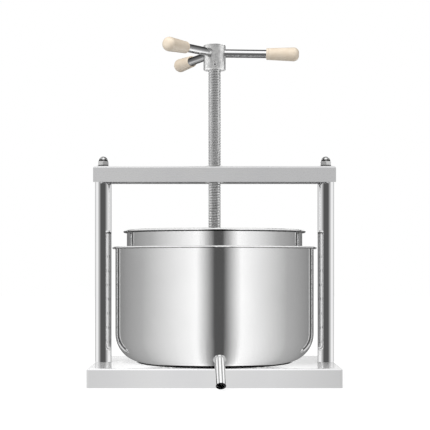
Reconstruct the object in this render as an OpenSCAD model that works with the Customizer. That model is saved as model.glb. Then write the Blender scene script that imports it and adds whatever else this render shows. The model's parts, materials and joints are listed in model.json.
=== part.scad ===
// Table-top screw press for fruit wine: a steel frame, a drained outer bucket, a perforated
// strainer basket, and a swivelling plate on a screw with a three-armed handle.
// The origin is on the table, on the axis of the screw. The spout points to -Y.

/* [Frame] */
// Length of the base and of the beam
frame_l = 320; // [300:1:360]
// Distance from the end of the frame to the outside of a post
post_inset = 0.5; // [0:0.1:4]
// Outer diameter of the posts
post_d = 22; // [18:0.5:26]
// Wall of the posts
post_wall = 1.5; // [1:0.1:3]
// Diameter of the tie rods in the posts
rod_d = 8; // [6:1:10]
// Clearance round a rod where it passes through sheet
rod_play = 0.4; // [0.2:0.1:1]

/* [Base] */
// Distance from the front of the base to the spout, at the height of the base's top
spout_gap = 6.15; // [4:0.05:20]
// Height of the base
base_h = 24.5; // [18:0.5:40]
// Sheet of the base
base_t = 1.5; // [1:0.1:3]
// Outer radius of the base's bends
base_bend = 3; // [2.2:0.1:4]
// Width of the turned-in lips under the long sides
base_lip = 15; // [8:1:30]
// Width of the turned-in lips under the ends
base_end_lip = 4; // [3:0.5:5]

/* [Beam] */
// Clear height from the base to the underside of the beam
beam_clear = 238.5; // [225:0.5:300]
// Height of the beam
beam_h = 21; // [16:0.5:30]
// Depth of the beam
beam_d = 48; // [40:1:60]
// Sheet of the beam
beam_t = 2; // [1.5:0.1:3]
// Outer radius of the beam's bends and of its dressed ends
beam_bend = 3; // [2.5:0.1:4]

/* [Fasteners] */
// Width across the flats of the nuts
nut_flats = 13; // [11:0.5:14]
// Height of the hexagon of a nut
nut_h = 6.4; // [5:0.1:8]
// Diameter of the dome on a cap nut
dome_d = 12.2; // [9:0.1:12.6]
// Outer diameter of the washers
washer_d = 17; // [15:0.5:18]
// Thickness of the washers
washer_t = 1.6; // [1:0.1:2.5]
// Length of rod that stands out below the lower nuts
rod_tail = 2.5; // [1:0.5:6]
// Diameter allowance of a thread on its rod
thread_play = 0.1; // [0.05:0.05:0.3]

/* [Screw] */
// Diameter of the press screw over its thread
screw_d = 16; // [14:0.5:20]
// Allowance on the diameter between the screw and its nut
screw_play = 0.4; // [0.2:0.1:0.8]
// Diameter of the nut's body under the beam
nut_body_d = 25; // [22:0.5:32]
// Diameter of the nut's neck through the beam
nut_neck_d = 20.5; // [20:0.5:24]
// Height of the nut's neck above the beam
nut_neck_h = 1.6; // [0.5:0.1:4]
// Distance from the beam's lower edge up to the nut's lower end
nut_recess = 0.3; // [0:0.1:3]
// Length of screw between the beam and the hub
screw_above = 129; // [118:1:150]
// Diameter of the spigot that enters the hub
spigot_d = 13.6; // [10:0.2:14]
// Length of the spigot
spigot_l = 29; // [24:0.5:30]
// Diameter of the neck that the keeper holds
neck_d = 10.5; // [8:0.5:12]
// Length of the screw's foot under its neck
foot_l = 11; // [8:0.5:16]

/* [Handle] */
// Diameter of the hub
hub_d = 29.5; // [27:0.5:36]
// Height of the hub
hub_h = 34; // [32:0.5:44]
// Height of the arms above the hub's lower face
arm_rise = 23; // [20:0.5:24]
// Diameter of the arms
arm_d = 11; // [8:0.5:12]
// Number of arms
arm_count = 3; // [2:1:4]
// Bearing of the first arm, from +X
arm_bearing = -3; // [-180:1:180]
// Droop of the arms below the horizontal
arm_droop = 1.2; // [0:0.1:5]
// Distance from the screw's axis to the inner end of the arms
arm_start = 9; // [8.5:0.1:10]
// Distance from the screw's axis to the mouth of the grips
grip_start = 69; // [55:1:90]
// Length of the grips
grip_l = 43.5; // [38:0.5:60]
// Diameter of the grips at the mouth
grip_mouth_d = 15.6; // [15:0.1:20]
// Diameter of the grips at the outer end
grip_end_d = 18.4; // [16:0.1:24]
// Radius of the rounding at the outer end
grip_round = 7; // [4:0.5:8]
// Depth of an arm in its grip
grip_bite = 26; // [15:1:30]
// Diameter of the hub's set screw
set_screw_d = 6; // [4:1:8]
// Height of the set screw above the hub's lower face
set_screw_rise = 6.5; // [5:0.5:9]
// Bearing of the set screw, from +X
set_screw_bearing = -88; // [-180:1:180]

/* [Plate] */
// Height of the plate's underside above the table at rest
plate_z = 162; // [150:1:172]
// Gap between the plate and the basket
plate_gap = 8.5; // [6:0.5:12]
// Sheet of the plate
plate_t = 2.5; // [1.5:0.1:4]
// Height of the plate's turned-up edge
plate_rim = 12; // [8:1:20]
// Outer radius of the plate's bend
plate_bend = 5; // [4.2:0.1:7]
// Diameter of the socket on the plate
socket_d = 38; // [34:1:46]
// Height of the socket
socket_h = 16; // [14:0.5:24]
// Running clearance between the screw's foot and its socket
foot_play = 0.4; // [0.3:0.1:1]
// Thickness of the keeper
keeper_t = 3; // [2:0.5:5]
// Diameter of the keeper's screws
keeper_screw_d = 4; // [3:0.5:5]
// Number of stiffening ribs on the plate
rib_count = 6; // [3:1:8]
// Thickness of the ribs
rib_t = 3; // [2:0.5:5]

/* [Bucket] */
// Distance from the bucket's rim to a post
post_gap = 1.5; // [0.8:0.1:4]
// Height of the bucket
bucket_h = 153; // [150:1:180]
// Sheet of the bucket
bucket_t = 1; // [0.8:0.1:2]
// Outer radius between the bucket's floor and wall
bucket_corner = 38; // [30:1:42]
// Width of the bucket's rim outside the wall
bucket_rim = 4; // [3.4:0.1:4.4]
// Thickness of the bucket's rolled rim
bucket_bead = 3; // [2:0.1:3.3]
// Gap under the bucket
seat_gap = 0.2; // [0.1:0.1:0.5]
// Outer diameter of the spout
spout_d = 12.8; // [10:0.2:16]
// Wall of the spout
spout_wall = 1; // [0.6:0.1:2]
// Depth of the shoulder on the spout, which stops against the collar
spout_step = 0.3; // [0.2:0.1:0.5]
// Angle of the spout below the horizontal
spout_angle = 45; // [40:1:50]
// Height of the spout's lowest point above the table
spout_clear = 1.2; // [1:0.1:8]
// Bearing of the spout, from -Y towards +X
spout_turn = 3; // [-5:1:5]
// Diameter of the collar where the spout leaves the bucket
collar_d = 16.2; // [15:0.1:24]
// Length of the collar
collar_l = 3; // [2:0.5:6]

/* [Basket] */
// Gap between the bucket's wall and the basket's wall
basket_gap = 15.2; // [10:0.1:20]
// Sheet of the basket
basket_t = 1; // [0.8:0.1:2]
// Height of the basket's rim above the bucket's rim
basket_stand = 22.3; // [10:0.1:30]
// Outer radius between the basket's floor and wall
basket_corner = 8; // [4:0.5:12]
// Width of the basket's rim outside the wall
basket_rim = 4.6; // [4.2:0.1:6]
// Thickness of the basket's rolled rim
basket_bead = 4; // [2.5:0.1:4.1]
// Height of the basket's feet
feet_h = 12; // [8:0.5:16]
// Diameter of the basket's feet
feet_d = 16; // [10:1:20]
// Number of the basket's feet
feet_count = 3; // [3:1:6]
// Distance from the axis to the middle of a foot
feet_r = 74; // [50:1:80]
// Diameter of the strainer holes
hole_d = 4; // [2:0.5:6]
// Number of holes round the wall
hole_columns = 36; // [12:1:48]
// Number of rows of holes in the wall
hole_rows = 7; // [3:1:8]
// Height of the plain band under the basket's rim
plain_band = 35; // [24:1:60]
// Distance between the rings of holes in the floor
floor_pitch = 17; // [14:1:30]

/* [Hidden] */
$fn = 64;

// Heights of the frame
beam_z = base_h + beam_clear;
beam_top = beam_z + beam_h;
post_x = frame_l / 2 - post_inset - post_d / 2;
post_top = beam_top - beam_t;
post_l = post_top - base_h;
cap_z = beam_top + washer_t;
base_nut_z = base_h - base_t - washer_t - nut_h;
cap_bore_l = nut_h + 2;

// Heights of the bucket and the basket
bucket_z = base_h + seat_gap;
bucket_top = bucket_z + bucket_h;
bucket_r = frame_l / 2 - post_inset - post_d - post_gap - bucket_rim;
basket_r = bucket_r - basket_gap;
basket_z = bucket_z + bucket_t + seat_gap + feet_h;
basket_top = bucket_top + basket_stand;
basket_h = basket_top - basket_z;

// Spout, along its own axis from the middle of the bucket's corner
corner_r = bucket_r - bucket_corner;
spout_r = corner_r + bucket_corner * cos(spout_angle);
spout_z = bucket_z + bucket_corner * (1 - sin(spout_angle));
spout_drop = spout_z - spout_clear - spout_d / 2 * cos(spout_angle);
spout_l = spout_drop / sin(spout_angle);
spout_root = 2.5;
root_d = spout_d - 2 * spout_step;
bore_d = spout_d - 2 * spout_wall;

// Depth of the base, whose front stops short of the spout
spout_reach = spout_r + (spout_z - base_h) / tan(spout_angle) - spout_d / 2 / sin(spout_angle);
base_d = 2 * (spout_reach - spout_gap);

// Plate and the screw's foot
plate_r = basket_r - basket_t - plate_gap;
socket_z = plate_z + plate_t;
socket_floor = 3;
tap_l = 8;
foot_z = socket_z + socket_floor + foot_play;
neck_z = foot_z + foot_l;
keeper_z = socket_z + socket_h;
neck_l = keeper_z + keeper_t + foot_play - neck_z;
socket_bore_d = screw_d + 2 * foot_play;
keeper_flat = 6;
keeper_w = socket_d - 2 * keeper_flat;
keeper_screw_r = socket_d / 2 - 5.5;

// Screw and hub
hub_z = beam_top + screw_above;
arm_z = hub_z + arm_rise;
screw_z = neck_z + neck_l;
screw_l = hub_z - screw_z;

// Outline of a box, w wide and h high on the X axis, with its upper corners rounded
module arched_outline(w, h, r) {
    translate([-w / 2, 0]) square([w, h - r]);
    translate([r - w / 2, 0]) square([w - 2 * r, h]);
    for (side = [-1, 1]) translate([side * (w / 2 - r), h - r]) circle(r);
}

// Outline of a rectangle about the origin with four rounded corners
module rounded_outline(w, d, r) {
    square([w, d - 2 * r], center = true);
    square([w - 2 * r, d], center = true);
    for (x = [-1, 1], y = [-1, 1]) translate([x * (w / 2 - r), y * (d / 2 - r)]) circle(r);
}

// Bar along X with the arched outline
module bar_x(l, w, h, r) {
    rotate([90, 0, 90]) linear_extrude(l, center = true) arched_outline(w, h, r);
}

// Bar along Y with the arched outline
module bar_y(l, w, h, r) {
    rotate([90, 0, 0]) linear_extrude(l, center = true) arched_outline(w, h, r);
}

// Block whose upper edges and upright edges are all bent to one radius
module bent_block(l, d, h, r) {
    intersection() {
        bar_x(l + 1, d, h, r);
        bar_y(d + 1, l, h, r);
        linear_extrude(h) rounded_outline(l, d, r);
    }
}

// Half section of a pot: its floor, corner and wall to the outside
module pot_outline(r, h, corner) {
    square([r - corner, h]);
    translate([0, corner]) square([r, h - corner]);
    translate([r - corner, 0]) intersection() {
        translate([0, corner]) circle(corner);
        square(corner);
    }
}

// Pot of sheet t with a rolled rim, whose bead has its own thickness
module pot(r, h, t, corner, rim, bead) {
    rotate_extrude($fn = 180) {
        difference() {
            pot_outline(r, h, corner);
            translate([0, t]) pot_outline(r - t, h, corner - t);
        }
        translate([r - t, h - t]) square([rim + t - bead / 2, t]);
        translate([r + rim - bead / 2, h - bead / 2]) circle(bead / 2, $fn = 24);
    }
}

// Puts its children at the left or the right post
module at_post(side) {
    translate([side * post_x, 0, 0]) children();
}

module ring(od, id, h) {
    difference() {
        cylinder(h, d = od);
        translate([0, 0, -1]) cylinder(h + 2, d = id);
    }
}

module hexagon(h) {
    cylinder(h, d = nut_flats / cos(30), $fn = 6);
}

module base_plate() {
    inner_bend = base_bend - base_t;
    color([0.86, 0.86, 0.87]) difference() {
        bent_block(frame_l, base_d, base_h, base_bend);
        translate([0, 0, base_t])
            bent_block(frame_l - 2 * base_t, base_d - 2 * base_t, base_h - 2 * base_t, inner_bend);
        translate([0, 0, base_t / 2])
            cube([frame_l - 2 * base_end_lip, base_d - 2 * base_lip, 2 * base_t], center = true);
        for (side = [-1, 1])
            at_post(side) translate([0, 0, base_h / 2]) cylinder(base_h, d = rod_d + rod_play);
    }
}

module post(side) {
    color([0.78, 0.79, 0.8]) at_post(side)
        translate([0, 0, base_h]) ring(post_d, post_d - 2 * post_wall, post_l);
}

module tie_rod(side) {
    rod_z = base_nut_z - rod_tail;
    color([0.62, 0.63, 0.64]) at_post(side)
        translate([0, 0, rod_z]) cylinder(cap_z + cap_bore_l - 0.5 - rod_z, d = rod_d);
}

module base_washer(side) {
    color([0.75, 0.75, 0.76]) at_post(side)
        translate([0, 0, base_h - base_t - washer_t]) ring(washer_d, rod_d + rod_play, washer_t);
}

module base_nut(side) {
    color([0.75, 0.75, 0.76]) at_post(side) translate([0, 0, base_nut_z]) difference() {
        hexagon(nut_h);
        translate([0, 0, -1]) cylinder(nut_h + 2, d = rod_d + thread_play);
    }
}

module top_beam() {
    color([0.84, 0.84, 0.85]) translate([0, 0, beam_z]) difference() {
        intersection() {
            bar_x(frame_l, beam_d, beam_h, beam_bend);
            bar_y(beam_d + 1, frame_l, beam_h, beam_bend);
        }
        translate([0, 0, -beam_t])
            bar_x(frame_l + 1, beam_d - 2 * beam_t, beam_h, beam_bend - beam_t);
        cylinder(beam_h + 1, d = nut_neck_d);
        for (side = [-1, 1]) at_post(side) cylinder(beam_h + 1, d = rod_d + rod_play);
    }
}

module top_washer(side) {
    color([0.8, 0.8, 0.81]) at_post(side)
        translate([0, 0, beam_top]) ring(washer_d, rod_d + rod_play, washer_t);
}

module cap_nut(side) {
    color([0.8, 0.8, 0.81]) at_post(side) translate([0, 0, cap_z]) rotate([0, 0, side * 8]) difference() {
        union() {
            hexagon(nut_h);
            translate([0, 0, nut_h]) rotate_extrude() intersection() {
                circle(d = dome_d);
                square(dome_d);
            }
        }
        translate([0, 0, -1]) cylinder(cap_bore_l + 1, d = rod_d + thread_play);
    }
}

module screw_nut() {
    body_z = beam_z + nut_recess;
    color([0.72, 0.72, 0.7]) difference() {
        union() {
            translate([0, 0, body_z]) cylinder(post_top - body_z, d = nut_body_d);
            translate([0, 0, post_top]) cylinder(beam_t + nut_neck_h, d = nut_neck_d);
        }
        translate([0, 0, beam_z - 1]) cylinder(beam_h + nut_neck_h + 2, d = screw_d + screw_play);
    }
}

module pressure_plate() {
    color([0.82, 0.83, 0.84]) translate([0, 0, plate_z]) rotate_extrude($fn = 180) difference() {
        pot_outline(plate_r, plate_rim, plate_bend);
        translate([0, plate_t]) pot_outline(plate_r - plate_t, plate_rim, plate_bend - plate_t);
    }
}

// Ribs from the socket to the turned-up edge, tapered towards the edge
module plate_ribs() {
    start = socket_d / 2;
    end = plate_r - plate_bend;
    color([0.8, 0.81, 0.82]) translate([0, 0, socket_z])
        for (i = [0 : rib_count - 1]) rotate([90, 0, (i + 0.5) * 360 / rib_count])
            linear_extrude(rib_t, center = true)
                polygon([[start, 0], [end, 0], [end, rib_t], [start, socket_h * 0.7]]);
}

module plate_socket() {
    color([0.72, 0.72, 0.73]) translate([0, 0, socket_z]) difference() {
        cylinder(socket_h, d = socket_d);
        translate([0, 0, socket_floor]) cylinder(socket_h, d = socket_bore_d);
        for (side = [-1, 1]) translate([0, side * keeper_screw_r, socket_h - tap_l])
            cylinder(tap_l + 1, d = keeper_screw_d + thread_play);
    }
}

// Plate over the screw's foot, slotted from one side so that it slides onto the neck
module socket_keeper() {
    color([0.7, 0.7, 0.71]) translate([0, 0, keeper_z]) difference() {
        intersection() {
            cylinder(keeper_t, d = socket_d);
            translate([-keeper_w / 2, -socket_d, 0]) cube([keeper_w, 2 * socket_d, keeper_t]);
        }
        translate([0, 0, -1]) cylinder(keeper_t + 2, d = neck_d + 2 * foot_play);
        translate([0, -neck_d / 2 - foot_play, -1])
            cube([socket_d, neck_d + 2 * foot_play, keeper_t + 2]);
        for (side = [-1, 1]) translate([0, side * keeper_screw_r, -1])
            cylinder(keeper_t + 2, d = keeper_screw_d + thread_play);
    }
}

module keeper_screws() {
    head_h = keeper_screw_d * 0.6;
    shank_l = keeper_t + tap_l - 1;
    color([0.6, 0.6, 0.61]) for (side = [-1, 1])
        translate([0, side * keeper_screw_r, keeper_z + keeper_t]) difference() {
            union() {
                cylinder(head_h, d = keeper_screw_d * 1.7);
                translate([0, 0, -shank_l]) cylinder(shank_l, d = keeper_screw_d);
            }
            translate([0, 0, head_h / 2]) cylinder(head_h, d = keeper_screw_d * 0.6, $fn = 6);
        }
}

module press_screw() {
    color([0.6, 0.6, 0.6]) {
        translate([0, 0, foot_z]) cylinder(foot_l, d = screw_d);
        translate([0, 0, neck_z]) cylinder(neck_l, d = neck_d);
        translate([0, 0, screw_z]) cylinder(screw_l, d = screw_d);
        translate([0, 0, hub_z]) cylinder(spigot_l, d = spigot_d);
    }
}

// Puts its children on arm i, whose axis is their Z axis
module on_arm(i) {
    translate([0, 0, arm_z]) rotate([0, 0, arm_bearing - i * 360 / arm_count])
        rotate([0, 90 + arm_droop, 0]) children();
}

// Puts its children on the set screw, whose axis is their Z axis
module on_set_screw() {
    translate([0, 0, hub_z + set_screw_rise]) rotate([0, 90, set_screw_bearing]) children();
}

module handle_hub() {
    edge = 1.2;
    r = hub_d / 2;
    color([0.74, 0.74, 0.74]) difference() {
        translate([0, 0, hub_z]) rotate_extrude() polygon([
            [0, 0], [r - edge, 0], [r, edge], [r, hub_h - edge], [r - edge, hub_h], [0, hub_h]
        ]);
        translate([0, 0, hub_z - 1]) cylinder(spigot_l + 1.5, d = spigot_d + thread_play);
        for (i = [0 : arm_count - 1])
            on_arm(i) translate([0, 0, arm_start]) cylinder(hub_d, d = arm_d + thread_play);
        on_set_screw() cylinder(hub_d, d = set_screw_d + thread_play);
    }
}

module hub_set_screw() {
    socket_flats = set_screw_d / 2;
    start = spigot_d / 2 + thread_play;
    length = hub_d / 2 - start - 0.8;
    color([0.35, 0.35, 0.36]) on_set_screw() translate([0, 0, start]) difference() {
        cylinder(length, d = set_screw_d);
        translate([0, 0, length - socket_flats]) cylinder(length, d = socket_flats / cos(30), $fn = 6);
    }
}

module handle_arm(i) {
    color([0.8, 0.81, 0.82]) on_arm(i)
        translate([0, 0, arm_start + 0.3]) cylinder(grip_start + grip_bite - arm_start - 0.3, d = arm_d);
}

module grip(i) {
    mouth_r = grip_mouth_d / 2;
    end_r = grip_end_d / 2;
    shoulder = grip_l - grip_round;
    bore_r = (arm_d + thread_play) / 2;
    color([0.89, 0.83, 0.75]) on_arm(i) translate([0, 0, grip_start]) difference() {
        rotate_extrude() {
            polygon([
                [0, 0], [mouth_r - 0.8, 0], [mouth_r, 0.8], [mouth_r, 2.4], [mouth_r - 0.4, 2.8],
                [mouth_r, 3.2], [end_r, shoulder], [0, shoulder]
            ]);
            translate([0, shoulder]) intersection() {
                translate([end_r - grip_round, 0]) circle(grip_round);
                square([end_r, grip_round]);
            }
            translate([0, shoulder]) square([end_r - grip_round, grip_round]);
        }
        translate([0, 0, -1]) cylinder(grip_bite + 1.5, r = bore_r);
        translate([0, 0, -0.01]) cylinder(1.5, bore_r + 1.2, bore_r);
    }
}

// Puts its children at the spout, whose axis is their Z axis, starting on the bucket's corner
module at_spout() {
    rotate([0, 0, spout_turn - 90]) translate([spout_r, 0, spout_z])
        rotate([0, 90 + spout_angle, 0]) children();
}

module outer_bucket() {
    color([0.8, 0.81, 0.82]) difference() {
        translate([0, 0, bucket_z])
            pot(bucket_r, bucket_h, bucket_t, bucket_corner, bucket_rim, bucket_bead);
        at_spout() translate([0, 0, -spout_root * 2]) cylinder(spout_root * 4, d = root_d + thread_play);
    }
}

module spout_collar() {
    color([0.75, 0.76, 0.77]) difference() {
        at_spout() translate([0, 0, -1]) cylinder(collar_l + 1, d = collar_d);
        at_spout() translate([0, 0, -spout_root]) cylinder(spout_l, d = root_d + thread_play);
        translate([0, 0, bucket_z]) rotate_extrude($fn = 180) pot_outline(bucket_r, bucket_h, bucket_corner);
    }
}

module drain_spout() {
    color([0.8, 0.81, 0.82]) at_spout() difference() {
        union() {
            translate([0, 0, -spout_root]) cylinder(spout_root + collar_l, d = root_d);
            translate([0, 0, collar_l]) cylinder(spout_l - collar_l, d = spout_d);
        }
        translate([0, 0, -spout_root - 1]) cylinder(spout_l + spout_root + 2, d = bore_d);
    }
}

module inner_basket() {
    rows_z = basket_z + basket_corner + hole_d;
    rows_h = basket_top - plain_band - rows_z;
    rings = floor((basket_r - basket_corner - hole_d) / floor_pitch);
    color([0.8, 0.81, 0.82]) difference() {
        translate([0, 0, basket_z])
            pot(basket_r, basket_h, basket_t, basket_corner, basket_rim, basket_bead);
        for (row = [0 : hole_rows - 1], column = [0 : hole_columns - 1])
            rotate([0, 0, (column + row % 2 / 2) * 360 / hole_columns])
                translate([basket_r - 4 * basket_t, 0, rows_z + row * rows_h / (hole_rows - 1)])
                    rotate([0, 90, 0]) cylinder(6 * basket_t, d = hole_d, $fn = 16);
        for (ring = [1 : rings], i = [0 : 6 * ring - 1]) rotate([0, 0, (i + 0.5) * 60 / ring])
            translate([ring * floor_pitch, 0, basket_z - 1])
                cylinder(basket_t + 2, d = hole_d, $fn = 16);
    }
}

module basket_feet() {
    color([0.76, 0.77, 0.78]) for (i = [0 : feet_count - 1]) rotate([0, 0, 30 + i * 360 / feet_count])
        translate([feet_r, 0, basket_z - feet_h]) cylinder(feet_h, d1 = feet_d * 0.7, d2 = feet_d);
}

base_plate();
post(-1);  // left_post
post(1);  // right_post
tie_rod(-1);  // left_tie_rod
tie_rod(1);  // right_tie_rod
base_washer(-1);  // left_base_washer
base_washer(1);  // right_base_washer
base_nut(-1);  // left_base_nut
base_nut(1);  // right_base_nut
top_beam();
top_washer(-1);  // left_top_washer
top_washer(1);  // right_top_washer
cap_nut(-1);  // left_cap_nut
cap_nut(1);  // right_cap_nut
screw_nut();
pressure_plate();
plate_ribs();
plate_socket();
socket_keeper();
keeper_screws();
press_screw();
handle_hub();
hub_set_screw();
handle_arm(0);  // handle_arm_1
handle_arm(1);  // handle_arm_2
handle_arm(2);  // handle_arm_3
grip(0);  // grip_1
grip(1);  // grip_2
grip(2);  // grip_3
outer_bucket();
spout_collar();
drain_spout();
inner_basket();
basket_feet();
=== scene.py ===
"""The looks of a table-top fruit press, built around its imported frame."""

import json
import math

import bpy
from mathutils import Matrix, Vector, noise

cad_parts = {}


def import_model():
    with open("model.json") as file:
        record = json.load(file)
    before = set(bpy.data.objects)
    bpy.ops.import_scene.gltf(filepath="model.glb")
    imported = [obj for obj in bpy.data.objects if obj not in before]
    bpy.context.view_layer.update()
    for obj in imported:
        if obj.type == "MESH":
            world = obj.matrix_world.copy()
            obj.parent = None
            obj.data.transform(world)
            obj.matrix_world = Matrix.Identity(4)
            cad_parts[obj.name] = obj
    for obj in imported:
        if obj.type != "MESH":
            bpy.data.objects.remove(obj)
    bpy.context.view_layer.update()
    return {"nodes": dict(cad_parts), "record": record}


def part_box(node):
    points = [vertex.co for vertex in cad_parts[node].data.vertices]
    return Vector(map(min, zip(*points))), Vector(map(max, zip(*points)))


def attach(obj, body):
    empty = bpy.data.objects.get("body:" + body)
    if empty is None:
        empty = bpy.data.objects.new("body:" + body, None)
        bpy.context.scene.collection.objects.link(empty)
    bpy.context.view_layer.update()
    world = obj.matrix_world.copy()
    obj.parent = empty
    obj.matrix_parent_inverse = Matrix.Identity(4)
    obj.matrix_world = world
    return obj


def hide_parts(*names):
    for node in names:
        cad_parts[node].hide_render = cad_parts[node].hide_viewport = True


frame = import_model()
nodes = frame["nodes"]

# Camera, from the photograph's 430 x 430 frame
PHOTO = 430
HORIZON_Y = 264
FOCAL_PX = 1322
CAMERA_DISTANCE = 1.765
CAMERA_HEIGHT = 0.1548
SENSOR = 36

# Handle: where the arms and the set screw stand on the hub
ARM_BEARING = -3
ARM_DROOP = 1.2
ARM_RISE = 0.023
SET_SCREW_BEARING = -88
SET_SCREW_RISE = 0.0065

# Bucket and spout
BUCKET_RIM = 0.004
BUCKET_CORNER = 0.038
SPOUT_ANGLE = 45
SPOUT_BORE_RADIUS = 0.0054
SPOUT_TURN = 3

# Press screw
LEAD = 0.0035
THREAD_DEPTH = 0.0005
FOOT_LENGTH = 0.011
NECK_RADIUS = 0.00525
SPIGOT_RADIUS = 0.0068

# Nuts, and the weld round the spout
NUT_FLATS = 0.013
NUT_BORE = 0.00405
NUT_HEIGHT = 0.0064
CAP_BORE_TOP = 0.0084
DOME_RADIUS = 0.0061
WELD_INSIDE = 0.0063
WELD_OUTSIDE = 0.0081
WELD_FOOT = 0.0006
WELD_TOP = 0.0015

# Heights above which the pots get painted shade under their rims
BUCKET_BEAD_LOW = 0.1742
BASKET_BEAD_LOW = 0.1955

# Painted contact shadow on the base, a dark ring: the radii where it fades in and out, and how much narrower
# it is in x
SHADOW_RING_IN = (0.085, 0.09)
SHADOW_RING_OUT = (0.117, 0.113)
SHADOW_RING_STRETCH = 1.12

# Degrees over which a light shell's flanks and tops take over, and the flanks' share on the left
FLANK_RANGE = (25, 40)
TOP_RANGE = (5, 11)
LEFT_SHARE = 0.55

# Grain directions and the metals' dark tone, light tone, roughness range, grain, scale, bump, depth
# and patch scale
SHEET_GRAIN = (2, 160, 160)
TURNED_GRAIN = (60, 60, 1400)
POT_GRAIN = (6, 6, 220)
ALL_WAYS = (1, 1, 1)
METALS = {
    # satin_sheet is a darker copy of the sheet steel than base_sheet: painted shade.
    "satin_sheet": ((0.60, 0.60, 0.61), (0.64, 0.64, 0.64), (0.24, 0.32), SHEET_GRAIN, 9, 0.04),
    "mirror_steel": ((0.80, 0.80, 0.80), (0.83, 0.83, 0.83), (0.05, 0.09), POT_GRAIN, 5),
    "chrome_tube": ((0.86, 0.86, 0.87), (0.88, 0.88, 0.88), (0.03, 0.06), ALL_WAYS, 120),
    "bright_fastener": ((0.74, 0.74, 0.74), (0.80, 0.80, 0.79), (0.08, 0.16), ALL_WAYS, 260),
    "zinc_steel": ((0.55, 0.56, 0.57), (0.66, 0.66, 0.66), (0.25, 0.4), ALL_WAYS, 240, 0.1),
    "machined_steel": (
        (0.58, 0.58, 0.57), (0.66, 0.66, 0.65), (0.2, 0.34), TURNED_GRAIN, 3, 0.15,
    ),
    "screw_steel": (
        (0.36, 0.36, 0.36), (0.48, 0.48, 0.48), (0.2, 0.3), ALL_WAYS, 420, 0.1, 0.0001,
    ),
    "cast_hub": (
        (0.54, 0.54, 0.54), (0.80, 0.80, 0.79), (0.26, 0.44), ALL_WAYS, 480, 0.5, 0.00012, 330,
    ),
    "dark_screw": ((0.10, 0.10, 0.10), (0.17, 0.17, 0.17), (0.3, 0.45), ALL_WAYS, 300, 0.2),
}


def centre_of(node):
    low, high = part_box(node)
    return (low + high) / 2


def make_object(name, vertices, faces, sharp=32):
    """A smooth-shaded mesh object whose edges over the angle stay sharp."""
    mesh = bpy.data.meshes.new(name)
    mesh.from_pydata(vertices, [], faces)
    mesh.update()
    mesh.shade_smooth()
    mesh.set_sharp_from_angle(angle=math.radians(sharp))
    made = bpy.data.objects.new(name, mesh)
    bpy.context.scene.collection.objects.link(made)
    return made


def revolved(name, profile, columns, radius_at=None, place=None, sharp=32):
    """A closed solid of revolution about Z.

    The profile's (radius, height) points run from axis to axis, or round a ring that is then closed.
    radius_at(angle, radius, height) may reshape a row, and place is a matrix for the whole piece."""
    vertices, rings, faces = [], [], []
    for radius, height in profile:
        if radius == 0:
            rings.append([len(vertices)] * columns)
            vertices.append(Vector((0, 0, height)))
            continue
        ring = []
        for j in range(columns):
            angle = math.tau * j / columns
            r = radius_at(angle, radius, height) if radius_at else radius
            ring.append(len(vertices))
            vertices.append(Vector((r * math.cos(angle), r * math.sin(angle), height)))
        rings.append(ring)
    if profile[0][0] > 0:
        rings.append(rings[0])
    for lower, upper in zip(rings, rings[1:]):
        for j in range(columns):
            k = (j + 1) % columns
            corners = [lower[j], lower[k], upper[k], upper[j]]
            faces.append(list(dict.fromkeys(corners)))
    if place:
        vertices = [place @ v for v in vertices]
    return make_object(name, vertices, faces, sharp)


def arc(centre_r, centre_z, radius, start, end, steps):
    """Points of a round corner in a profile, angles in degrees from the outward direction."""
    angles = [math.radians(start + (end - start) * i / steps) for i in range(steps + 1)]
    return [(centre_r + radius * math.cos(a), centre_z + radius * math.sin(a)) for a in angles]


def apply_modifiers(thing):
    """Turns an object's modifiers into mesh."""
    graph = bpy.context.evaluated_depsgraph_get()
    mesh = bpy.data.meshes.new_from_object(thing.evaluated_get(graph))
    thing.modifiers.clear()
    thing.data = mesh


def cut(thing, cutters):
    """Takes the cutters' shapes out of a piece and deletes them."""
    for cutter in cutters:
        step = thing.modifiers.new("cut", "BOOLEAN")
        step.operation = "DIFFERENCE"
        step.solver = "EXACT"
        step.object = cutter
    apply_modifiers(thing)
    for cutter in cutters:
        bpy.data.objects.remove(cutter)
    thing.data.shade_smooth()
    thing.data.set_sharp_from_angle(angle=math.radians(32))


# Materials


def tree_of(material):
    material.use_nodes = True
    return material.node_tree, material.node_tree.nodes["Principled BSDF"]


def link(tree, source, target):
    tree.links.new(source, target)


def add(tree, kind, **values):
    """A node with its properties and its inputs set by name."""
    node = tree.nodes.new(kind)
    for name, value in values.items():
        if hasattr(node, name):
            setattr(node, name, value)
        else:
            node.inputs[name.replace("_", " ")].default_value = value
    return node


def math_node(tree, operation, *values):
    node = tree.nodes.new("ShaderNodeMath")
    node.operation = operation
    for socket, value in zip(node.inputs, values):
        if isinstance(value, (int, float)):
            socket.default_value = value
        else:
            link(tree, value, socket)
    return node.outputs["Value"]


def grain(tree, stretch, scale, detail=4.0, roughness=0.55):
    """Noise in the object's own coordinates, stretched along chosen axes."""
    place = add(tree, "ShaderNodeTexCoord")
    shape = add(tree, "ShaderNodeMapping")
    shape.inputs["Scale"].default_value = stretch
    link(tree, place.outputs["Object"], shape.inputs["Vector"])
    cloud = add(tree, "ShaderNodeTexNoise", Scale=scale, Detail=detail, Roughness=roughness)
    link(tree, shape.outputs["Vector"], cloud.inputs["Vector"])
    return cloud.outputs["Fac"]


def ranged(tree, source, low, high):
    """Maps the middle of a noise to the range low to high."""
    step = add(tree, "ShaderNodeMapRange")
    step.inputs["From Min"].default_value = 0.25
    step.inputs["From Max"].default_value = 0.75
    step.inputs["To Min"].default_value = low
    step.inputs["To Max"].default_value = high
    link(tree, source, step.inputs["Value"])
    return step.outputs["Result"]


def bumped(tree, shader, source, strength, distance):
    step = add(tree, "ShaderNodeBump")
    step.inputs["Strength"].default_value = strength
    step.inputs["Distance"].default_value = distance
    link(tree, source, step.inputs["Height"])
    link(tree, step.outputs["Normal"], shader.inputs["Normal"])


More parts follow.
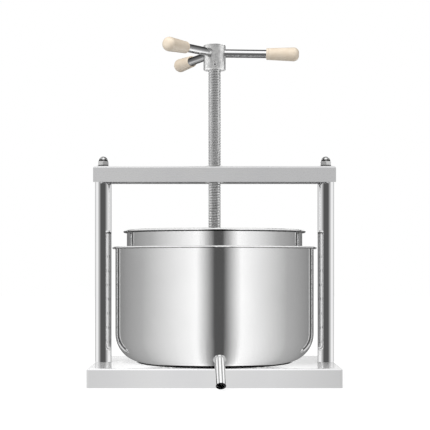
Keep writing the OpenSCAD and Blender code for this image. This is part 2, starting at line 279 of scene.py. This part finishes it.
def tinted(tree, shader, source, dark, light):
    """Colour that varies between two tones with a noise."""
    ramp = add(tree, "ShaderNodeValToRGB")
    ramp.color_ramp.elements[0].position = 0.3
    ramp.color_ramp.elements[0].color = (*dark, 1)
    ramp.color_ramp.elements[1].position = 0.7
    ramp.color_ramp.elements[1].color = (*light, 1)
    link(tree, source, ramp.inputs["Fac"])
    link(tree, ramp.outputs["Color"], shader.inputs["Base Color"])


def object_point(tree, output="Object"):
    """The object's own x, y and z, or those of its normal."""
    place = add(tree, "ShaderNodeTexCoord")
    parts = add(tree, "ShaderNodeSeparateXYZ")
    link(tree, place.outputs[output], parts.inputs["Vector"])
    return parts.outputs


def ramped(tree, value, start, end, low=0.0, high=1.0):
    """A value that goes from low to high while another goes from start to end."""
    step = add(tree, "ShaderNodeMapRange")
    sockets = "From Min", "From Max", "To Min", "To Max"
    for socket, number in zip(sockets, (start, end, low, high)):
        step.inputs[socket].default_value = number
    link(tree, value, step.inputs["Value"])
    return step.outputs["Result"]


def levels(tree, value, stops):
    """A level that goes straight from stop to stop of (value, level)."""
    curve = add(tree, "ShaderNodeFloatCurve")
    first, last = stops[0][0], stops[-1][0]
    top = max(level for _, level in stops)
    share = math_node(tree, "DIVIDE", math_node(tree, "SUBTRACT", value, first), last - first)
    link(tree, share, curve.inputs["Value"])
    points = curve.mapping.curves[0].points
    while len(points) < len(stops):
        points.new(0.5, 0.5)
    for point, (angle, level) in zip(points, stops):
        point.location = ((angle - first) / (last - first), level / top)
        point.handle_type = "VECTOR"
    curve.mapping.update()
    return math_node(tree, "MULTIPLY", curve.outputs["Value"], top)


def scaled_colour(material, factor):
    """Multiplies a material's base colour by a value of its tree."""
    tree, shader = tree_of(material)
    product = add(tree, "ShaderNodeVectorMath", operation="SCALE")
    link(tree, shader.inputs["Base Color"].links[0].from_socket, product.inputs[0])
    link(tree, factor, product.inputs["Scale"])
    link(tree, product.outputs["Vector"], shader.inputs["Base Color"])


def metal(name, dark, light, rough, stretch, scale, bump=0.0, depth=0.00002, patches=14):
    """A metal with streaks or specks in its gloss and relief, and patches in its colour."""
    material = bpy.data.materials.new(name)
    tree, shader = tree_of(material)
    shader.inputs["Metallic"].default_value = 1
    fine = grain(tree, stretch, scale)
    broad = grain(tree, (1, 1, 1), patches, 2)
    tinted(tree, shader, broad, dark, light)
    link(tree, ranged(tree, fine, *rough), shader.inputs["Roughness"])
    if bump:
        bumped(tree, shader, fine, bump, depth)
    return material


def pale_wood():
    """Smooth lacquered wood with a faint grain."""
    material = bpy.data.materials.new("pale_grip")
    tree, shader = tree_of(material)
    tinted(tree, shader, grain(tree, (1, 1, 1), 90, 5), (0.74, 0.62, 0.48), (0.83, 0.73, 0.60))
    link(tree, ranged(tree, grain(tree, (1, 1, 1), 300), 0.3, 0.42), shader.inputs["Roughness"])
    bumped(tree, shader, grain(tree, (1, 1, 1), 420, 3), 0.04, 0.0001)
    shader.inputs["Coat Weight"].default_value = 0.25
    shader.inputs["Coat Roughness"].default_value = 0.2
    return material


def polished_pot(name, bead_low, shade):
    """Mirror-polished steel with painted shade under the rolled rim, above a height."""
    material = metal(name, *METALS["mirror_steel"])
    tree = material.node_tree
    high_up = math_node(tree, "GREATER_THAN", object_point(tree)[2], bead_low)
    under = ramped(tree, object_point(tree, "Normal")[2], -0.12, -0.4)
    masked(material, math_node(tree, "MULTIPLY", high_up, under), shade)
    return material


def spout_axis():
    """Where the spout's axis leaves the bucket, and which way it points."""
    low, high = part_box("outer_bucket")
    slant = math.radians(SPOUT_ANGLE)
    corner_r = (high.x - low.x) / 2 - BUCKET_RIM - BUCKET_CORNER
    out = Matrix.Rotation(math.radians(SPOUT_TURN - 90), 4, "Z") @ Vector((1, 0, 0))
    root = out * (corner_r + BUCKET_CORNER * math.cos(slant))
    root.z = low.z + BUCKET_CORNER * (1 - math.sin(slant))
    return root, out * math.cos(slant) - Vector((0, 0, math.sin(slant)))


def off_axis(tree, root, axis):
    """Distance from a line through a point."""
    place = add(tree, "ShaderNodeTexCoord")
    offset = add(tree, "ShaderNodeVectorMath", operation="SUBTRACT")
    link(tree, place.outputs["Object"], offset.inputs[0])
    offset.inputs[1].default_value = root
    across = add(tree, "ShaderNodeVectorMath", operation="CROSS_PRODUCT")
    link(tree, offset.outputs["Vector"], across.inputs[0])
    across.inputs[1].default_value = axis
    reach = add(tree, "ShaderNodeVectorMath", operation="LENGTH")
    link(tree, across.outputs["Vector"], reach.inputs[0])
    return reach.outputs["Value"]


def masked(material, share, factor):
    """Multiplies a colour by the factor where the share is 1."""
    scaled_colour(material, ramped(material.node_tree, share, 0, 1, 1, factor))


def polished_spout():
    """Mirror-polished steel, with painted shade in the bore and on the end."""
    material = metal("mirror_spout", *METALS["mirror_steel"][:3], ALL_WAYS, 90)
    tree = material.node_tree
    root, axis = spout_axis()
    place = add(tree, "ShaderNodeTexCoord")
    facing = add(tree, "ShaderNodeVectorMath", operation="DOT_PRODUCT")
    link(tree, place.outputs["Normal"], facing.inputs[0])
    facing.inputs[1].default_value = axis
    inside = math_node(tree, "LESS_THAN", off_axis(tree, root, axis), SPOUT_BORE_RADIUS + 0.0002)
    end = ramped(tree, facing.outputs["Value"], 0.7, 0.9)
    masked(material, math_node(tree, "MAXIMUM", inside, end), 0.01)
    return material


def screw_bar():
    """Grey steel with painted light on its sides below the beam, where the frame would shade it."""
    material = metal("screw_bar", *METALS["screw_steel"])
    tree = material.node_tree
    x, _, z = object_point(tree)
    below = math_node(tree, "LESS_THAN", z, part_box("top_beam")[0].z)
    aside = ramped(tree, math_node(tree, "ABSOLUTE", x), 0.0032, 0.0052)
    masked(material, math_node(tree, "MULTIPLY", below, aside), 1.6)
    return material


def rod_chrome(name):
    """Chrome with painted shade underneath."""
    material = metal(name, *METALS["chrome_tube"])
    down = ramped(material.node_tree, object_point(material.node_tree, "Normal")[2], -0.5, -0.75)
    masked(material, down, 0.3)
    return material


def nut_steel(name, node):
    """A bright domed nut with a satin hexagon, a painted shadow line at its foot and painted shade on the
    dome's left and right sides.
    """
    material = metal(name, *METALS["bright_fastener"])
    tree = material.node_tree
    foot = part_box(node)[0].z
    height = object_point(tree)[2]
    masked(material, ramped(tree, height, foot + 0.0014, foot + 0.001), 0.08)
    aside = ramped(tree, math_node(tree, "ABSOLUTE", object_point(tree, "Normal")[0]), 0.4, 0.52)
    dome = ramped(tree, height, foot + 0.0062, foot + 0.0066)
    masked(material, math_node(tree, "MULTIPLY", aside, dome), 0.25)
    return material


def base_sheet():
    """The base's sheet: matt on top, with a painted contact shadow round the bucket's foot and a painted
    sheen amid its front.
    """
    material = metal("base_sheet", (0.76, 0.76, 0.77), (0.79, 0.79, 0.79), (0.16, 0.24), SHEET_GRAIN, 9, 0.1)
    tree, shader = tree_of(material)
    # Painted sheen: the sheet's colour is lighter where x is small, amid its front.
    aside = math_node(tree, "ABSOLUTE", object_point(tree)[0])
    scaled_colour(material, ramped(tree, aside, 0.07, 0.16, 1.1, 0.94))
    # Painted contact shadow: a dark ring on the upward faces round the bucket's foot.
    x, y, _ = object_point(tree)
    wide = math_node(tree, "MULTIPLY", x, SHADOW_RING_STRETCH)
    reach = math_node(tree, "ADD", math_node(tree, "MULTIPLY", wide, wide), math_node(tree, "MULTIPLY", y, y))
    radius = math_node(tree, "SQRT", reach)
    ring = math_node(tree, "MULTIPLY", ramped(tree, radius, *SHADOW_RING_OUT), ramped(tree, radius, *SHADOW_RING_IN))
    upward = ramped(tree, object_point(tree, "Normal")[2], 0.6, 0.95)
    masked(material, math_node(tree, "MULTIPLY", ring, upward), 0.02)
    on_top = ramped(tree, upward, 0, 1, 1, 0.6)
    off_ring = ramped(tree, ring, 0, 1, 1, 0.02)
    link(tree, math_node(tree, "MULTIPLY", on_top, off_ring), shader.inputs["Metallic"])
    link(tree, ramped(tree, upward, 0, 1, 0.2, 0.07), shader.inputs["Roughness"])
    shader.inputs["Specular IOR Level"].default_value = 0
    return material


MATERIALS = {slot: metal(slot, *recipe) for slot, recipe in METALS.items()}
MATERIALS["pale_grip"] = pale_wood()
# Each of these finishes has painted shade or painted light in its colour, as its docstring says.
OWN_FINISH = {
    "outer_bucket": polished_pot("mirror_bucket", BUCKET_BEAD_LOW, 0.35),
    "inner_basket": polished_pot("mirror_basket", BASKET_BEAD_LOW, 0.04),
    "drain_spout": polished_spout(),
    "base_plate": base_sheet(),
    "handle_arm_1": rod_chrome("rod_chrome_1"),
    "handle_arm_2": rod_chrome("rod_chrome_2"),
    "handle_arm_3": rod_chrome("rod_chrome_3"),
}


def dress(thing, slot):
    """Gives a piece the finish of one of the record's material slots."""
    thing.data.materials.clear()
    thing.data.materials.append(MATERIALS[slot])


def stand_for(thing, body, slot, *replaced, finish=None):
    """Puts a finished piece in the place of CAD nodes."""
    dress(thing, slot)
    if finish:
        thing.data.materials[0] = finish
    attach(thing, body)
    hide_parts(*replaced)


# Pieces


def thread_height(turn):
    """Share of the thread's height at a place in its pitch, from 0 at the root to 1 on the crest."""
    crest, flank = 0.45, 0.2
    turn %= 1
    if turn < crest:
        return 1
    if turn < crest + flank:
        return 1 - (turn - crest) / flank
    if turn < 1 - flank:
        return 0
    return (turn - 1 + flank) / flank


def threaded(lead, depth, low, high):
    """A radius_at function that cuts a right-hand thread between two heights."""

    def radius_at(angle, radius, height):
        inside = min(height - low, high - height)
        if inside <= 0:
            return radius
        share = 1 - thread_height(height / lead - angle / math.tau)
        return radius - depth * share * min(1, inside / lead)

    return radius_at


def press_screw():
    low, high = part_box("press_screw")
    radius = (high.x - low.x) / 2
    keeper_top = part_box("socket_keeper")[1].z
    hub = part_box("handle_hub")[0].z
    neck, start = low.z + FOOT_LENGTH, keeper_top + 0.0004
    edge = 0.0008
    profile = [(0, low.z), (radius - edge, low.z), (radius, low.z + edge), (radius, neck)]
    profile += [(NECK_RADIUS, neck), (NECK_RADIUS, start), (radius - edge, start)]
    step = LEAD / 14
    rows = int((hub - start - edge) / step)
    profile += [(radius, start + edge + step * i) for i in range(rows + 1)]
    profile += [(radius, hub), (SPIGOT_RADIUS, hub), (SPIGOT_RADIUS, high.z), (0, high.z)]
    cut_thread = threaded(LEAD, THREAD_DEPTH, start, hub + 2 * LEAD)

    def radius_at(angle, row_radius, height):
        return cut_thread(angle, row_radius, height) if row_radius == radius else row_radius

    screw = revolved("screw_with_thread", profile, 64, radius_at, sharp=40)
    stand_for(screw, "screw", "screw_steel", "press_screw", finish=screw_bar())


def hexagon_radius(angle, flats):
    return flats / 2 / math.cos((angle + math.pi / 6) % (math.pi / 3) - math.pi / 6)


def nut(name, node, body, slot, dome=0.0):
    """A chamfered hexagon nut, with a dome on it if dome is a radius."""
    low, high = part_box(node)
    middle = (low + high) / 2
    corner = NUT_FLATS / 2 / math.cos(math.pi / 6)
    face = NUT_FLATS / 2 - 0.0001
    chamfer = (corner - face) / math.tan(math.radians(60))
    up = [(face + (corner - face) * i / 5, chamfer * i / 5) for i in range(6)]
    down = [(r, NUT_HEIGHT - z) for r, z in reversed(up)]
    if dome:
        profile = [(0, CAP_BORE_TOP), (NUT_BORE, CAP_BORE_TOP), (NUT_BORE, 0)] + up + down
        profile += arc(0, NUT_HEIGHT, dome, 0, 90, 14)[:-1] + [(0, NUT_HEIGHT + dome)]
    else:
        profile = [(NUT_BORE, 0)] + up + down + [(NUT_BORE, NUT_HEIGHT)]

    def radius_at(angle, radius, z):
        if radius < face or (dome and z > NUT_HEIGHT) or (dome and radius == dome):
            return radius
        return min(radius, hexagon_radius(angle, NUT_FLATS))

    place = Matrix.Translation((middle.x, middle.y, low.z))
    made = revolved(name, profile, 96, radius_at, place, sharp=20)
    stand_for(made, body, slot, node, finish=nut_steel(name + "_steel", node) if dome else None)


def outward(bearing, rise, droop=0.0):
    """The matrix that points +Z outward from the screw's axis, at a rise above the hub's foot."""
    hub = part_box("handle_hub")[0].z
    turn = Matrix.Rotation(math.radians(bearing), 4, "Z")
    return Matrix.Translation((0, 0, hub + rise)) @ turn @ Matrix.Rotation(math.radians(90 + droop), 4, "Y")


def handle_hub():
    """A plated casting: rounded edges, sockets with a small chamfer, and an uneven skin."""
    low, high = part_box("handle_hub")
    radius = (high.x - low.x) / 2
    round_r = 0.0016
    bore, bore_depth = 0.00685, 0.0295
    profile = [(0, low.z + bore_depth), (bore, low.z + bore_depth), (bore, low.z + 0.0006)]
    profile += [(bore + 0.0006, low.z)]
    profile += arc(radius - round_r, low.z + round_r, round_r, -90, 0, 5)
    rows = 44
    side_low, side_high = low.z + round_r, high.z - round_r
    profile += [(radius, side_low + (side_high - side_low) * i / rows) for i in range(1, rows)]
    profile += arc(radius - round_r, high.z - round_r, round_r, 0, 90, 5)
    profile += [(radius * k / 6, high.z) for k in range(4, 0, -1)] + [(0, high.z)]

    def radius_at(angle, r, z):
        if r < radius - 2 * round_r:
            return r
        spot = Vector((math.cos(angle) * r, math.sin(angle) * r, z))
        return r - 0.00012 * (0.5 + 0.5 * noise.noise(spot * 260)) - 0.00006 * abs(noise.noise(spot * 900))

    hub = revolved("cast_hub_body", profile, 192, radius_at)
    arm_r, mouth_r, start = 0.00556, 0.0072, 0.0088
    sleeve = [(0, start), (arm_r, start), (arm_r, radius - 0.0003)]
    sleeve += [(mouth_r, radius + 0.0013), (mouth_r, radius + 0.004), (0, radius + 0.004)]
    cutters = []
    for index in range(3):
        place = outward(ARM_BEARING - 120 * index, ARM_RISE, ARM_DROOP)
        cutters.append(revolved("cutter", sleeve, 48, place=place))
    hole_r, sink_r, start = 0.00306, 0.0042, 0.0066
    hole = [(0, start), (hole_r, start), (hole_r, radius - 0.0008)]
    hole += [(sink_r, radius + 0.0004), (sink_r, radius + 0.003), (0, radius + 0.003)]
    cutters.append(revolved("cutter", hole, 40, place=outward(SET_SCREW_BEARING, SET_SCREW_RISE)))
    cut(hub, cutters)
    stand_for(hub, "screw", "cast_hub", "handle_hub")


def set_screw():
    """A bright set screw with a chamfered end and a hexagon socket with painted shade in it."""
    low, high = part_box("hub_set_screw")
    radius, end = (high.z - low.z) / 2, -low.y
    start = -high.y
    flats, depth, edge = 0.0024, 0.0026, 0.0008
    corner = flats / 2 / math.cos(math.pi / 6)
    profile = [(0, end - depth), (corner, end - depth), (corner, end - 0.0001), (radius - edge, end)]
    profile += [(radius, end - edge), (radius, start), (0, start)]

    def radius_at(angle, r, z):
        return hexagon_radius(angle, flats) if r == corner else r

    place = outward(SET_SCREW_BEARING, SET_SCREW_RISE)
    made = revolved("set_screw", profile, 48, radius_at, place)
    steel = metal("set_screw_steel", (0.93, 0.93, 0.93), (0.97, 0.97, 0.97), (0.08, 0.16), ALL_WAYS, 300)
    tree = steel.node_tree
    bearing = math.radians(SET_SCREW_BEARING)
    axis = Vector((math.cos(bearing), math.sin(bearing), 0))
    reach = off_axis(tree, place.translation, axis)
    masked(steel, math_node(tree, "LESS_THAN", reach, corner), 0.25)
    stand_for(made, "screw", "dark_screw", "hub_set_screw", finish=steel)


def fasteners():
    for side in ("left", "right"):
        nut(side + "_domed_nut", side + "_cap_nut", "frame", "bright_fastener", DOME_RADIUS)
    for side in ("left", "right"):
        nut(side + "_lower_nut", side + "_base_nut", "frame", "zinc_steel")


def spout_weld():
    """The welded boss round the spout's root, which runs out smoothly on the tube."""
    root, axis = spout_axis()
    place = Matrix.Translation(root) @ axis.to_track_quat("Z", "Y").to_matrix().to_4x4()
    tip = WELD_INSIDE + 0.0004
    profile = [(WELD_INSIDE, -0.001), (WELD_OUTSIDE, -0.001)]
    for step in range(9):
        angle = math.radians(90 * step / 8)
        across = tip + (WELD_OUTSIDE - tip) * math.cos(angle)
        profile.append((across, WELD_FOOT + (WELD_TOP - WELD_FOOT) * math.sin(angle)))
    profile += [(WELD_INSIDE, WELD_TOP)]
    boss = revolved("spout_weld", profile, 64, place=place)
    stand_for(boss, "bucket", "mirror_steel", "spout_collar")


def frame_finishes():
    """Finishes the CAD nodes that stay, and keeps some pieces out of the polished metal's mirror."""
    slots = {row["node"]: row["material_slot"] for row in frame["record"]["subparts"]}
    for name, node in nodes.items():
        if not node.hide_render:
            dress(node, slots[name])
        if name in OWN_FINISH:
            node.data.materials[0] = OWN_FINISH[name]
    for name in ("base_plate", "outer_bucket", "drain_spout", "spout_weld", "grip_1", "grip_2", "grip_3"):
        bpy.data.objects[name].visible_glossy = False


press_screw()
handle_hub()
fasteners()
set_screw()
spout_weld()
frame_finishes()

# Studio


def camera():
    data = bpy.data.cameras.new("camera")
    data.sensor_width = SENSOR
    data.lens = FOCAL_PX / PHOTO * SENSOR
    data.shift_y = (HORIZON_Y - PHOTO / 2) / PHOTO
    data.clip_start, data.clip_end = 0.05, 50
    made = bpy.data.objects.new("camera", data)
    made.location = (0.0006, -CAMERA_DISTANCE, CAMERA_HEIGHT)
    made.rotation_euler = (math.radians(90), 0, 0)
    bpy.context.scene.collection.objects.link(made)
    bpy.context.scene.camera = made


def spread(tree, direction):
    """Angles, in degrees, of the mirror that turns the view from the front towards a direction.

    They are its bearing from the front, its tilt above the horizontal and its sideways lean."""
    forward = add(tree, "ShaderNodeVectorMath", operation="NORMALIZE")
    link(tree, direction, forward.inputs[0])
    half = add(tree, "ShaderNodeVectorMath", operation="SUBTRACT")
    link(tree, forward.outputs["Vector"], half.inputs[0])
    half.inputs[1].default_value = (0, 1, 0)
    mirror = add(tree, "ShaderNodeVectorMath", operation="NORMALIZE")
    link(tree, half.outputs["Vector"], mirror.inputs[0])
    parts = add(tree, "ShaderNodeSeparateXYZ")
    link(tree, mirror.outputs["Vector"], parts.inputs["Vector"])
    x, y, z = parts.outputs
    bearing = math_node(tree, "ARCTAN2", x, math_node(tree, "MULTIPLY", y, -1.0))
    angles = bearing, math_node(tree, "ARCSINE", z), math_node(tree, "ARCSINE", x)
    return [math_node(tree, "MULTIPLY", angle, math.degrees(1)) for angle in angles]


def blended(tree, share, first, second):
    """Goes from the first value to the second as the share goes from 0 to 1."""
    blend = add(tree, "ShaderNodeMix")
    for value, name in ((share, "Factor"), (first, "A"), (second, "B")):
        link(tree, value, blend.inputs[name])
    return blend.outputs["Result"]


def light_shell(name, radius, lit, walls=None, tilts=None, leans=None, flanks=None, tops=None,
                centre=(0, 0, 0.2)):
    """A sphere of soft light that only the lit pieces see.

    Its level is a product of levels by twice the mirror's bearing, by its tilt and by its lean.
    Flanks are the levels by tilt where the mirror faces well to one side, weaker on the left, and
    tops the levels by tilt where it faces up."""
    bpy.ops.mesh.primitive_uv_sphere_add(segments=64, ring_count=32, radius=radius, location=centre)
    shell = bpy.context.object
    shell.name = name
    material = bpy.data.materials.new(name)
    material.use_nodes = True
    tree = material.node_tree
    tree.nodes.clear()
    place = add(tree, "ShaderNodeTexCoord")
    bearing, tilt, lean = spread(tree, place.outputs["Object"])
    level = 1.0
    for angle, factor, stops in ((bearing, 2.0, walls), (tilt, 1.0, tilts), (lean, 1.0, leans)):
        if stops:
            part = levels(tree, math_node(tree, "MULTIPLY", angle, factor), stops)
            level = math_node(tree, "MULTIPLY", part, level)
    if flanks:
        aside = ramped(tree, math_node(tree, "ABSOLUTE", bearing), *FLANK_RANGE)
        leftward = ramped(tree, bearing, 10, -10, 1, LEFT_SHARE)
        flank = math_node(tree, "MULTIPLY", levels(tree, tilt, flanks), leftward)
        level = blended(tree, aside, level, flank)
    if tops:
        level = blended(tree, ramped(tree, tilt, *TOP_RANGE), level, levels(tree, tilt, tops))
    glow = add(tree, "ShaderNodeEmission")
    link(tree, level, glow.inputs["Strength"])
    clear = add(tree, "ShaderNodeBsdfTransparent")
    both = add(tree, "ShaderNodeAddShader")
    link(tree, glow.outputs[0], both.inputs[0])
    link(tree, clear.outputs[0], both.inputs[1])
    end = add(tree, "ShaderNodeOutputMaterial")
    link(tree, both.outputs[0], end.inputs["Surface"])
    material.cycles.emission_sampling = "NONE"
    shell.data.materials.append(material)
    shell.visible_camera = False
    shell.visible_diffuse = False
    shell.visible_shadow = False
    receivers = bpy.data.collections.new(name + "_lit")
    for thing in lit:
        receivers.objects.link(thing)
    shell.light_linking.receiver_collection = receivers


def shown(*names):
    return [bpy.data.objects[name] for name in names]


def world():
    """White to the camera, pale to what scatters light, and dark to polished metal."""
    made = bpy.data.worlds.new("studio")
    bpy.context.scene.world = made
    made.use_nodes = True
    tree = made.node_tree
    tree.nodes.clear()
    path = add(tree, "ShaderNodeLightPath")
    seen = math_node(tree, "MAXIMUM", path.outputs["Is Camera Ray"], path.outputs["Is Transmission Ray"])
    diffuse = math_node(tree, "MULTIPLY", path.outputs["Is Diffuse Ray"], 0.85)
    total = math_node(tree, "ADD", seen, diffuse)
    sky = add(tree, "ShaderNodeBackground", Color=(1, 1, 1, 1))
    link(tree, total, sky.inputs["Strength"])
    end = add(tree, "ShaderNodeOutputWorld")
    link(tree, sky.outputs[0], end.inputs["Surface"])


def floor():
    """A pale floor that stays white round a faint shadow."""
    bpy.ops.mesh.primitive_plane_add(size=9, location=(0, 0, -0.0003))
    made = bpy.context.object
    made.name = "floor"
    material = bpy.data.materials.new("floor")
    material.use_nodes = True
    tree = material.node_tree
    tree.nodes.clear()
    path = add(tree, "ShaderNodeLightPath")
    pale = add(tree, "ShaderNodeBsdfDiffuse", Color=(0.55, 0.55, 0.55, 1))
    faint = add(tree, "ShaderNodeBsdfDiffuse", Color=(0.30, 0.30, 0.30, 1))
    glow = add(tree, "ShaderNodeEmission", Strength=0.78)
    white = add(tree, "ShaderNodeAddShader")
    link(tree, faint.outputs[0], white.inputs[0])
    link(tree, glow.outputs[0], white.inputs[1])
    choice = add(tree, "ShaderNodeMixShader")
    link(tree, path.outputs["Is Camera Ray"], choice.inputs["Fac"])
    link(tree, pale.outputs[0], choice.inputs[1])
    link(tree, white.outputs[0], choice.inputs[2])
    end = add(tree, "ShaderNodeOutputMaterial")
    link(tree, choice.outputs[0], end.inputs["Surface"])
    made.data.materials.append(material)
    made.visible_glossy = False


def area_light(name, place, aim, size, power):
    data = bpy.data.lights.new(name, "AREA")
    data.shape = "DISK"
    data.size = size
    data.energy = power
    made = bpy.data.objects.new(name, data)
    made.location = place
    made.rotation_euler = (Vector(aim) - Vector(place)).to_track_quat("-Z", "Y").to_euler()
    made.visible_glossy = False
    bpy.context.scene.collection.objects.link(made)


# The studio, as a few soft boxes and dark flags: (twice the bearing, level) for walls,
# (tilt, level) for tilts, (lean, level) for leans
POT_WALL = [
    (-180, 0.1), (-90, 0.5), (-20, 1.2), (0, 0.1), (10, 0.1), (30, 1.2), (90, 0.5), (180, 0.1),
]
POT_TILTS = [(-90, 0), (-73, 0), (-70, 1.1), (-62, 1), (90, 1)]
POT_TOPS = [(-90, 1), (40, 1.1), (62, 0.8), (75, 0.45), (90, 0.3)]
POST_WALL = [(-180, 0.2), (-90, 1.1), (-30, 0.1), (30, 0.1), (90, 1.1), (180, 0.2)]
ROD_TILTS = [
    (-90, 0.35), (-45, 0.3), (-20, 0.15), (0, 0.1), (15, 1.2), (35, 1.2), (42, 0.1), (90, 0.05),
]
ROD_FLANKS = [(-90, 0.2), (-60, 0.3), (-40, 1.9), (-30, 1.6), (0, 0.35), (45, 0.05), (90, 0.05)]
CASTING_WALL = [
    (-180, 0.1), (-135, 0.1), (-120, 1.2), (-100, 1.6), (-40, 0.8), (-20, 0.65), (50, 0.65),
    (80, 1.5), (110, 1.5), (130, 0.1), (180, 0.1),
]
CASTING_TILTS = [
    (-90, 0.5), (-60, 1.4), (-20, 1.3), (-10, 1), (10, 1), (15, 0.4), (25, 0.1), (40, 1.9), (50, 1.8),
    (60, 0.2), (90, 0.1),
]
SPOUT_LEANS = [
    (-90, 1.2), (-30, 1.2), (-25, 0.4), (-15, 0.4), (-10, 1.2), (10, 1.2), (15, 0.4), (25, 0.4),
    (30, 1.2), (90, 1.2),
]
SPOUT_TILTS = [
    (-90, 0.3), (-50, 0.6), (-20, 0.7), (5, 0.6), (8, 0), (19, 0), (25, 1), (50, 1), (55, 0), (90, 0),
]
SHEET_WALL = [(-180, 1.0), (-60, 0.9), (-10, 0.85), (20, 0.7), (180, 0.9)]
SHEET_TILTS = [(-90, 0.4), (-30, 0.8), (-10, 1), (12, 1), (22, 1.6), (60, 1.6), (80, 1.25), (90, 1.25)]


def lights():
    """Eight shells, as many as a ray of light can pass."""
    bucket = shown("outer_bucket")
    light_shell("bucket_light", 4.0, bucket, POT_WALL, POT_TILTS, tops=POT_TOPS)
    basket = shown("inner_basket", "pressure_plate", "plate_ribs")
    light_shell("basket_light", 3.9, basket, POT_WALL, POT_TILTS, tops=POT_TOPS)
    spout = shown("drain_spout", "spout_weld", "left_domed_nut", "right_domed_nut")
    light_shell("spout_light", 3.8, spout, tilts=SPOUT_TILTS, leans=SPOUT_LEANS)
    rods = shown(
        "handle_arm_1", "handle_arm_2", "handle_arm_3", "left_top_washer", "right_top_washer",
        "keeper_screws", "grip_1", "grip_2", "grip_3",
    )
    light_shell("rod_light", 3.7, rods, tilts=ROD_TILTS, flanks=ROD_FLANKS)
    castings = shown(
        "cast_hub_body", "set_screw", "screw_with_thread", "screw_nut",
        "plate_socket", "socket_keeper", "basket_feet", "left_lower_nut",
        "right_lower_nut", "left_base_washer", "right_base_washer", "left_tie_rod", "right_tie_rod",
    )
    light_shell("casting_light", 3.6, castings, CASTING_WALL, CASTING_TILTS)
    light_shell("sheet_light", 3.4, shown("base_plate", "top_beam"), SHEET_WALL, SHEET_TILTS)
    for post in ("left_post", "right_post"):
        light_shell(post + "_light", 3.2, shown(post), POST_WALL, centre=centre_of(post))
    area_light("key", (-0.5, -0.7, 1.3), (0, 0, 0.3), 0.7, 9)


camera()
world()
floor()
lights()
bpy.context.scene.view_settings.view_transform = "Standard"
